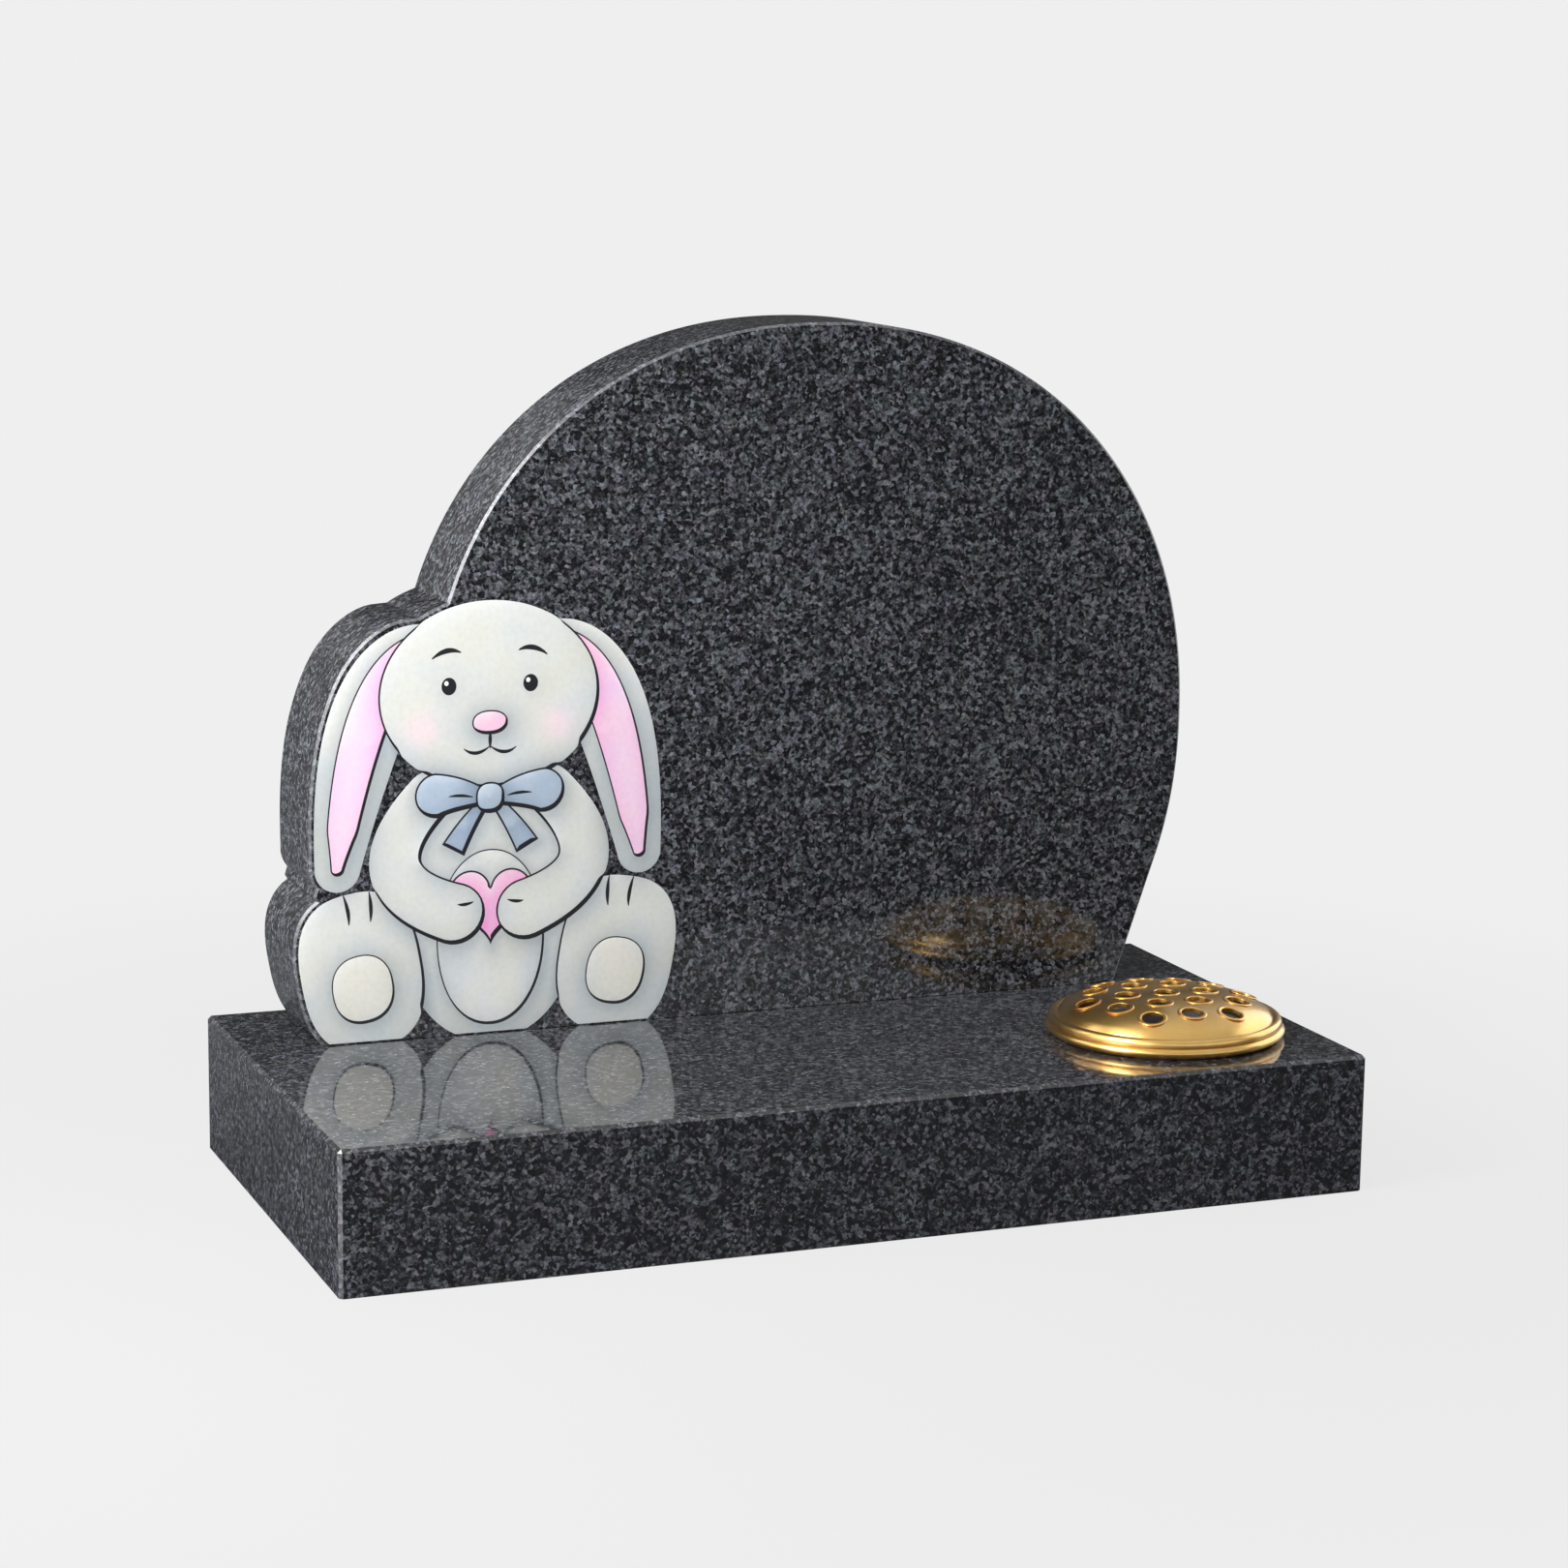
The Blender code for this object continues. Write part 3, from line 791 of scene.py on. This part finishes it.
def add_line(shape, below):
    """Finds a shape's inner outline, pulled in by the brush line where there is paint outside its edge."""
    shape.outline = evenly(shape.outline, OUTLINE_SPACING)
    tangent = np.roll(shape.outline, -1, axis=0) - np.roll(shape.outline, 1, axis=0)
    tangent /= np.maximum(np.hypot(*tangent.T), 1e-12)[:, None]
    inward = np.c_[-tangent[:, 1], tangent[:, 0]]
    area = (shape.outline[:, 0] * np.roll(shape.outline[:, 1], -1)
            - np.roll(shape.outline[:, 0], -1) * shape.outline[:, 1]).sum()
    inward *= math.copysign(1.0, area)
    outside = shape.outline - inward * EDGE_PROBE
    lined = np.zeros(len(outside))
    for other in below:
        lined = np.maximum(lined, inside(outside, other.outline))
    weights = np.hanning(2 * LINE_FADE + 1)
    weights /= weights.sum()
    lined = np.convolve(np.r_[lined[-LINE_FADE:], lined, lined[:LINE_FADE]], weights, mode="valid")
    weight = shape.line * lined * (1 - LINE_SWELL + 2 * LINE_SWELL * np.clip(inward @ LIGHT_SIDE, 0, 1))
    inner = shape.outline + inward * weight[:, None]
    shape.inner = inner[distance_to(inner, shape.outline) > CROSSING_SHARE * weight - 1e-6]


OUTLINE_SPACING = 0.0009
EDGE_PROBE = 0.0012
LINE_FADE = 5
# The inner outline can cross itself in a sharp corner. Its points there are nearer to the outline than the
# line is wide, so those below this share of its width are dropped.
CROSSING_SHARE = 0.93
LIGHT_SIDE = np.array((-0.45, 0.89))
for index, shape in enumerate(shapes):
    add_line(shape, [other for other in shapes[:index] if other.soft])

# %% Lay all outlines into one triangulation
FILM = 0.0003
PAINT_FACE = stone_low.y - FILM / 2
GRID = 0.0024
ROW_SHARE = 0.87
BARE_AT_JOINT = 0.0006
paint_floor = joint + BARE_AT_JOINT

corners, edges = [], []
for shape in shapes:
    loops = [shape.outline] + ([shape.inner] if shape.line else [])
    for loop in loops:
        first = len(corners)
        corners.extend(loop)
        edges.extend((first + i, first + (i + 1) % len(loop)) for i in range(len(loop)))
reach = np.vstack([shape.outline for shape in shapes])
low, high = reach.min(0) - 0.002, reach.max(0) + 0.002
corners.extend([(low[0], paint_floor), (high[0], paint_floor)])
edges.append((len(corners) - 2, len(corners) - 1))
for row, z in enumerate(np.arange(paint_floor + GRID / 2, high[1], GRID * ROW_SHARE)):
    line = np.arange(low[0] + GRID / 2 * (row % 2), high[0], GRID)
    spots = np.c_[line, np.full(len(line), z)]
    kept = np.zeros(len(spots), bool)
    for shape in shapes:
        kept |= inside(spots, shape.outline)
    corners.extend(spots[kept])
flat = delaunay_2d_cdt([Vector(map(float, corner)) for corner in corners], edges, [], 0, 1e-6, False)
points = np.array([tuple(vert) for vert in flat[0]])
triangles = np.array([face for face in flat[2] if len(face) == 3])
middles = points[triangles].mean(1)
owner = np.full(len(middles), -1)
lined = np.zeros(len(middles), bool)
for index, shape in enumerate(shapes):
    covered = inside(middles, shape.outline)
    owner[covered] = index
    lined[covered] = bool(shape.line) & ~inside(middles[covered], shape.inner)
shown = (owner >= 0) & (middles[:, 1] > paint_floor)
triangles, owner, lined = triangles[shown], owner[shown], lined[shown]
print("painting", len(triangles), "triangles")


# %% Shade the shapes
EDGE_SHADE, EDGE_SHADE_TURN, EDGE_SOFTNESS = 0.25, 0.20, 0.0075
CAST_SHIFT = np.array((0.0012, -0.0020))
CAST_SHADE, CAST_SOFTNESS = 0.62, 0.0085
RIM_SOFTNESS, RIM_LIGHT = 0.0045, 0.40
CHEEKS = ((-0.160, 0.712), (0.160, 0.712))
CHEEK_PINK = np.array((0.86, 0.60, 0.70))
CHEEK_SHARE, CHEEK_RADIUS = 0.55, 0.0095


def shaded(index, spots):
    """The colours of one shape at some spots: its own shade, the shadows cast on it, and its lit edge."""
    shape = shapes[index]
    if not shape.soft:
        return np.repeat(shape.colour[None], len(spots), axis=0)
    middle = shape.outline.mean(0)
    away = spots - middle
    facing = away @ LIGHT_SIDE / np.maximum(np.hypot(*away.T), 1e-6)
    edge = distance_to(spots, shape.outline)
    own = np.exp(-edge / EDGE_SOFTNESS) * (EDGE_SHADE - EDGE_SHADE_TURN * facing) * shape.soft
    cast = np.zeros(len(spots))
    for other in shapes[index + 1:]:
        if other.cast:
            moved = spots - CAST_SHIFT
            gap = np.where(inside(moved, other.outline), 0.0, distance_to(moved, other.outline))
            cast = np.maximum(cast, CAST_SHADE * other.cast * np.exp(-gap / CAST_SOFTNESS))
    amount = np.clip(own + cast, 0, 0.95)[:, None]
    colour = shape.colour * (1 - amount) + shape.shade * amount
    rim = np.exp(-edge / RIM_SOFTNESS) * RIM_LIGHT * np.clip(facing, 0, 1)
    colour += (1 - colour) * rim[:, None] * (1 - amount)
    if index == head_index:
        for x, z in CHEEKS:
            centre = np.array((figure_middle + x * FIGURE_HEIGHT, base_top + z * FIGURE_HEIGHT))
            glow = CHEEK_SHARE * np.exp(-((spots - centre) ** 2).sum(1) / CHEEK_RADIUS ** 2)[:, None]
            colour = colour * (1 - glow) + CHEEK_PINK * glow
    return colour


figure_top = base_top + FIGURE_HEIGHT
head_index = next(i for i, shape in enumerate(shapes) if abs(shape.outline[:, 1].max() - figure_top) < 0.001)
corner_colour = np.zeros((len(triangles), 3, 3))
for index in range(len(shapes)):
    mine = np.flatnonzero(owner == index)
    if len(mine):
        used, back = np.unique(triangles[mine], return_inverse=True)
        corner_colour[mine] = shaded(index, points[used])[back.reshape(-1, 3)]
corner_colour[lined] = INK
print("darkest", corner_colour.min().round(3), "lightest", corner_colour.max().round(3))

# %% [markdown]
# Enamel paint
#
# The film takes its colours from the corners, and the material adds what a sprayed and brushed coat has:
# slow drifts of warm and cool tint, a faint speckle, and a satin skin that is less sharp than the polished
# stone. The film is thin, and half of it is let into the stone, so it looks flush.

# %% Paint film
def paint_material():
    net = Net(bpy.data.materials.new("enamel paint"))
    shader = net.nodes["Principled BSDF"]
    colour = net.new("ShaderNodeAttribute")
    colour.attribute_name = "paint"
    where = net.new("ShaderNodeTexCoord").outputs["Object"]
    drift = net.noise(where, 38.0)
    tints = net.ramp([(0.30, (0.95, 0.98, 1.02)), (0.50, (1.0, 1.0, 1.0)), (0.70, (1.01, 1.0, 0.95))])
    net.link(drift.outputs["Fac"], tints.inputs[0])
    tinted = net.mix(1.0, colour.outputs["Color"], tints.outputs[0], "MULTIPLY")
    mottle = net.noise(where, 320.0, 3.0)
    puffs = net.ramp([(0.30, (0.95, 0.955, 0.96)), (0.52, (1.0, 1.0, 1.0)), (0.75, (1.03, 1.03, 1.02))])
    net.link(mottle.outputs["Fac"], puffs.inputs[0])
    net.link(net.mix(1.0, tinted, puffs.outputs[0], "MULTIPLY"), shader.inputs["Base Color"])
    speckle = net.noise(where, 900.0)
    rough = net.math("MULTIPLY_ADD", speckle.outputs["Fac"], 0.12, 0.26)
    net.link(rough, shader.inputs["Roughness"])
    net.bump(shader, speckle.outputs["Fac"], strength=0.06, distance=0.0002)
    return net.owner


used, back = np.unique(triangles, return_inverse=True)
film_mesh = bpy.data.meshes.new("painted_rabbit")
film_mesh.from_pydata([(x, PAINT_FACE, z) for x, z in points[used]], [], back.reshape(-1, 3).tolist())
film = add_object("painted_rabbit", film_mesh)
layer = film_mesh.color_attributes.new("paint", "FLOAT_COLOR", "CORNER")
values = np.ones((len(triangles) * 3, 4), np.float32)
values[:, :3] = corner_colour.reshape(-1, 3)
layer.data.foreach_set("color", values.ravel())
pick(film, "faces", lambda face: True)
if film_mesh.polygons[0].normal.y > 0:
    bpy.ops.mesh.flip_normals()
leave_edit_mode()
thicken = film.modifiers.new("film", "SOLIDIFY")
thicken.thickness = FILM
thicken.offset = -1.0
apply_modifiers(film)
film.data.materials.append(paint_material())
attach(film, "root")
print("paint film", len(film.data.polygons), "faces")

# %% [markdown]
# The gold lid
#
# The lid is spun aluminium, anodised gold. Its foot stands on the granite, two rounded steps lead up to a
# groove, and a flat dome with nineteen stem holes fills the middle. The profile is drawn as short curves
# and spun, with the middle hole left open. The others are punched with cutters, and round each hole a small
# rolled collar catches the light.

# %% Lid profile
LID_SHEET = 0.0015
STEP_BULGE = 0.0035
LOWER_STEP_RISE = 0.0068
UPPER_STEP_RISE = 0.0046
UPPER_STEP_WIDTH = 0.0060
GROOVE = 0.0010
DOME_RISE = 0.0123
DOME_FULLNESS, DOME_ROUNDING = 3.6, 0.75
STEM_HOLE_RADIUS = 0.006
STEM_HOLE_MARGIN = 0.0008
PUNCH_RADIUS = STEM_HOLE_RADIUS + 0.0007
CONTAINER_WALL = 0.0015

lid_radius = (lid_high.x - lid_low.x) / 2
foot_radius = hole_radius + FLANGE_LEDGE + HOLE_CLEARANCE + LID_SHEET
foot_height = lid_low.z - base_top
springing = LOWER_STEP_RISE + UPPER_STEP_RISE
waist_radius = foot_radius + STEP_BULGE / 2
dome_radius = waist_radius - UPPER_STEP_WIDTH


def dome_height(radius):
    share = max(1 - (radius / dome_radius) ** DOME_FULLNESS, 0.0)
    return springing + DOME_RISE * share ** DOME_ROUNDING


def dome_slope(radius):
    step = 0.0002
    return math.atan2(dome_height(radius - step) - dome_height(radius + step), 2 * step)


def bow_curve(start, corner, end, count):
    """Points of a quadratic curve from start up to, but not including, end."""
    return [tuple((1 - t) ** 2 * a + 2 * t * (1 - t) * b + t * t * c for a, b, c in zip(start, corner, end))
            for t in (step / count for step in range(count))]


BULGE = (foot_radius + 1.5 * STEP_BULGE, LOWER_STEP_RISE / 2)
SHOULDER = (waist_radius - UPPER_STEP_WIDTH / 8, springing)


def dome_rows(count):
    radii = [dome_radius + (PUNCH_RADIUS - dome_radius) * math.sin(math.pi / 2 * step / count)
             for step in range(count + 1)]
    return [(radius, dome_height(radius)) for radius in radii]


def lid_skin():
    """The outside: two full beads, each closed above by a turned groove, and the dome."""
    bead_end = (waist_radius + 0.0002, LOWER_STEP_RISE - 0.7 * GROOVE)
    next_bead = (waist_radius - 0.4 * GROOVE, LOWER_STEP_RISE + 0.3 * GROOVE)
    full_shoulder = (SHOULDER[0] + 0.0008, SHOULDER[1] + 0.0006)
    lip = (dome_radius + 1.5 * GROOVE, springing)
    skin = bow_curve((foot_radius, foot_height), BULGE, bead_end, 16)
    skin += [(waist_radius - 0.4 * GROOVE, LOWER_STEP_RISE - 0.35 * GROOVE),
             (waist_radius - GROOVE, LOWER_STEP_RISE)]
    skin += bow_curve(next_bead, full_shoulder, lip, 14)
    skin += [lip, (dome_radius + 0.7 * GROOVE, springing - 0.6 * GROOVE),
             (dome_radius, springing - 0.7 * GROOVE)]
    return skin + dome_rows(40)[1:]


def lid_core():
    """The same sheet without its grooves, for the inside."""
    curve = bow_curve((foot_radius, foot_height), BULGE, (waist_radius, LOWER_STEP_RISE), 10)
    curve += bow_curve((waist_radius, LOWER_STEP_RISE), SHOULDER, (dome_radius, springing), 8)
    return curve + dome_rows(24)


def inset_profile(skin, thickness):
    """The same profile moved inwards by the sheet's thickness, along the mean normal at each point."""
    inner = []
    for index, (radius, height) in enumerate(skin):
        before, after = skin[max(index - 1, 0)], skin[min(index + 1, len(skin) - 1)]
        along = (after[0] - before[0], after[1] - before[1])
        length = math.hypot(*along)
        inner.append((radius - thickness * along[1] / length, height + thickness * along[0] / length))
    inner[0] = (skin[0][0] - thickness, skin[0][1])
    inner[-1] = (skin[-1][0], skin[-1][1] - thickness)
    return inner


skin = lid_skin()
lid = spin_profile("gold_lid", skin + inset_profile(lid_core(), LID_SHEET)[::-1], 128, closed=True)
print("lid radius", round(max(radius for radius, height in skin), 4), "frame", round(lid_radius, 4))

# %% Punch the stem holes
STEM_GRID_TURN = math.radians(-5.4)
spacing = (hole_radius - HOLE_CLEARANCE - CONTAINER_WALL - STEM_HOLE_RADIUS - STEM_HOLE_MARGIN) / 2
hole_places = []
for row in range(-2, 3):
    for column in range(-2, 3):
        if abs(row + column) <= 2:
            place = Vector(((column + row / 2) * spacing, row * math.sqrt(3) / 2 * spacing))
            place.rotate(Matrix.Rotation(STEM_GRID_TURN, 2))
            hole_places.append(tuple(place))
for x, y in hole_places:
    if (x, y) != (0, 0):
        bpy.ops.object.select_all(action="DESELECT")
        bpy.ops.mesh.primitive_cylinder_add(vertices=40, radius=PUNCH_RADIUS, depth=0.02,
                                            location=(x, y, springing + DOME_RISE / 2))
        cut_with(lid, name_piece("punch"))
print("stem holes", len(hole_places), "spacing", round(spacing, 4))

# %% Rolled collars
BEAD_MIDDLE, BEAD_HALF_WIDTH, BEAD_HEIGHT = 0.0075, 0.0012, 0.00045
COLLAR_DEPTH = 0.0020


def collar_profile():
    """Half section of a collar: a flat bead on the dome and a short wall that goes down into the hole."""
    points = []
    for step in range(13):
        angle = math.pi * (step / 12 * 1.15 - 0.12)
        points.append((BEAD_MIDDLE + BEAD_HALF_WIDTH * math.cos(angle),
                       BEAD_HEIGHT * (math.sin(angle) + 0.1)))
    inner = BEAD_MIDDLE - BEAD_HALF_WIDTH
    return points + [(inner, -0.0004), (inner, -COLLAR_DEPTH), (inner + 0.0007, -COLLAR_DEPTH),
                     (inner + 0.0009, -0.0006)]


collar = spin_profile("collar", collar_profile(), 40, closed=True)
collars = []
for x, y in hole_places:
    copy = add_object("collar", collar.data.copy())
    radius = math.hypot(x, y)
    tilt = Matrix.Rotation(dome_slope(radius), 4, Vector((-y, x, 0))) if radius > 0 else Matrix.Identity(4)
    copy.data.transform(Matrix.Translation((x, y, dome_height(radius))) @ tilt)
    collars.append(copy)
bpy.data.objects.remove(collar, do_unlink=True)
select_only(lid)
for copy in collars:
    copy.select_set(True)
bpy.ops.object.join()
lid.location = ((lid_low.x + lid_high.x) / 2, (lid_low.y + lid_high.y) / 2, base_top)
apply_place(lid)
smooth_by_angle(lid, 35)
print("lid", len(lid.data.polygons), "faces")

# %% [markdown]
# Gold anodised aluminium
#
# Anodising keeps the metal's brushed skin and dyes it gold. The lathe leaves rings about the lid's axis,
# finer than the eye can part, which spread the highlights. So roughness and a very weak bump follow the
# distance from the axis. A clear coat over the gold keeps the bright edges of the highlights crisp.

# %% Spun metal
def spun_material(name, colour, deep_colour, roughness, lacquer=0.0):
    """Metal with the fine rings of turning, under a share of clear lacquer."""
    net = Net(bpy.data.materials.new(name))
    shader = net.nodes["Principled BSDF"]
    where = net.new("ShaderNodeTexCoord").outputs["Object"]
    centred = net.new("ShaderNodeMapping")
    centred.inputs["Location"].default_value = (-pot_middle.x, -pot_middle.y, 0)
    net.link(where, centred.inputs["Vector"])
    apart = net.new("ShaderNodeSeparateXYZ")
    net.link(centred.outputs[0], apart.inputs[0])
    square_x = net.math("MULTIPLY", apart.outputs["X"], apart.outputs["X"])
    square = net.math("MULTIPLY_ADD", apart.outputs["Y"], apart.outputs["Y"], square_x)
    radius = net.math("SQRT", square)
    rings = net.new("ShaderNodeTexNoise")
    rings.noise_dimensions = "1D"
    rings.inputs["Scale"].default_value = 2600.0
    rings.inputs["Detail"].default_value = 2.0
    net.link(radius, rings.inputs["W"])
    cloud = net.noise(where, 120.0)
    tones = net.ramp([(0.25, deep_colour), (0.75, colour)])
    net.link(cloud.outputs["Fac"], tones.inputs[0])
    net.link(tones.outputs[0], shader.inputs["Base Color"])
    rough = net.math("MULTIPLY_ADD", rings.outputs["Fac"], 0.12, roughness - 0.06)
    net.link(rough, shader.inputs["Roughness"])
    shader.inputs["Metallic"].default_value = 1.0
    shader.inputs["Coat Weight"].default_value = lacquer
    shader.inputs["Coat Roughness"].default_value = 0.14
    shader.inputs["Coat IOR"].default_value = 1.6
    shader.inputs["Anisotropic"].default_value = 0.5
    shader.inputs["Anisotropic Rotation"].default_value = 0.25
    turned = net.new("ShaderNodeTangent")
    turned.direction_type, turned.axis = "RADIAL", "Z"
    net.link(turned.outputs[0], shader.inputs["Tangent"])
    net.bump(shader, rings.outputs["Fac"], strength=0.10, distance=0.0001)
    return net.owner


lid.data.materials.clear()
lid.data.materials.append(spun_material("gold anodised", (0.90, 0.57, 0.17), (0.82, 0.48, 0.11), 0.31, 0.8))
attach(lid, "root")
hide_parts("flower_container_lid")
print("lid finish", lid.data.materials[0].name)

# %% [markdown]
# The pot
#
# Under the lid a plain spun aluminium pot hangs in the hole by its flange. Only its dark inside shows,
# through the stem holes, but it is whole: a flange with a rounded mouth, a straight wall and a flat bottom.

# %% Flower container
BOTTOM_ROUNDING, INNER_ROUNDING, MOUTH_ROUNDING = 0.006, 0.004, 0.002
mouth_radius = hole_radius - HOLE_CLEARANCE - CONTAINER_WALL
wall_radius = mouth_radius + CONTAINER_WALL
flat_radius = mouth_radius - INNER_ROUNDING
flange_radius = hole_radius + FLANGE_LEDGE
flange_top, flange_low = pot_high.z, pot_high.z - CONTAINER_WALL
wall_low, inner_floor = pot_low.z + BOTTOM_ROUNDING, pot_low.z + CONTAINER_WALL
mouth_low = flange_top - MOUTH_ROUNDING
pot_profile = [(0.0, pot_low.z)]
pot_profile += bow_curve((flat_radius, pot_low.z), (wall_radius, pot_low.z), (wall_radius, wall_low), 6)
pot_profile += [(wall_radius, wall_low), (wall_radius, flange_low)]
pot_profile += [(flange_radius, flange_low), (flange_radius, flange_top)]
pot_profile += bow_curve((mouth_radius + MOUTH_ROUNDING, flange_top), (mouth_radius, flange_top),
                         (mouth_radius, mouth_low), 5)
pot_profile += [(mouth_radius, mouth_low), (mouth_radius, wall_low)]
pot_profile += [(flat_radius, inner_floor), (0.0, inner_floor)]
pot = spin_profile("aluminium_pot", pot_profile, 96)
pot.location = (pot_middle.x, pot_middle.y, 0)
apply_place(pot)
smooth_by_angle(pot, 35)
pot.data.materials.append(spun_material("spun aluminium", (0.62, 0.62, 0.63), (0.50, 0.50, 0.51), 0.38))
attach(pot, "root")
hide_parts("flower_container")
print("pot", len(pot.data.polygons), "faces")
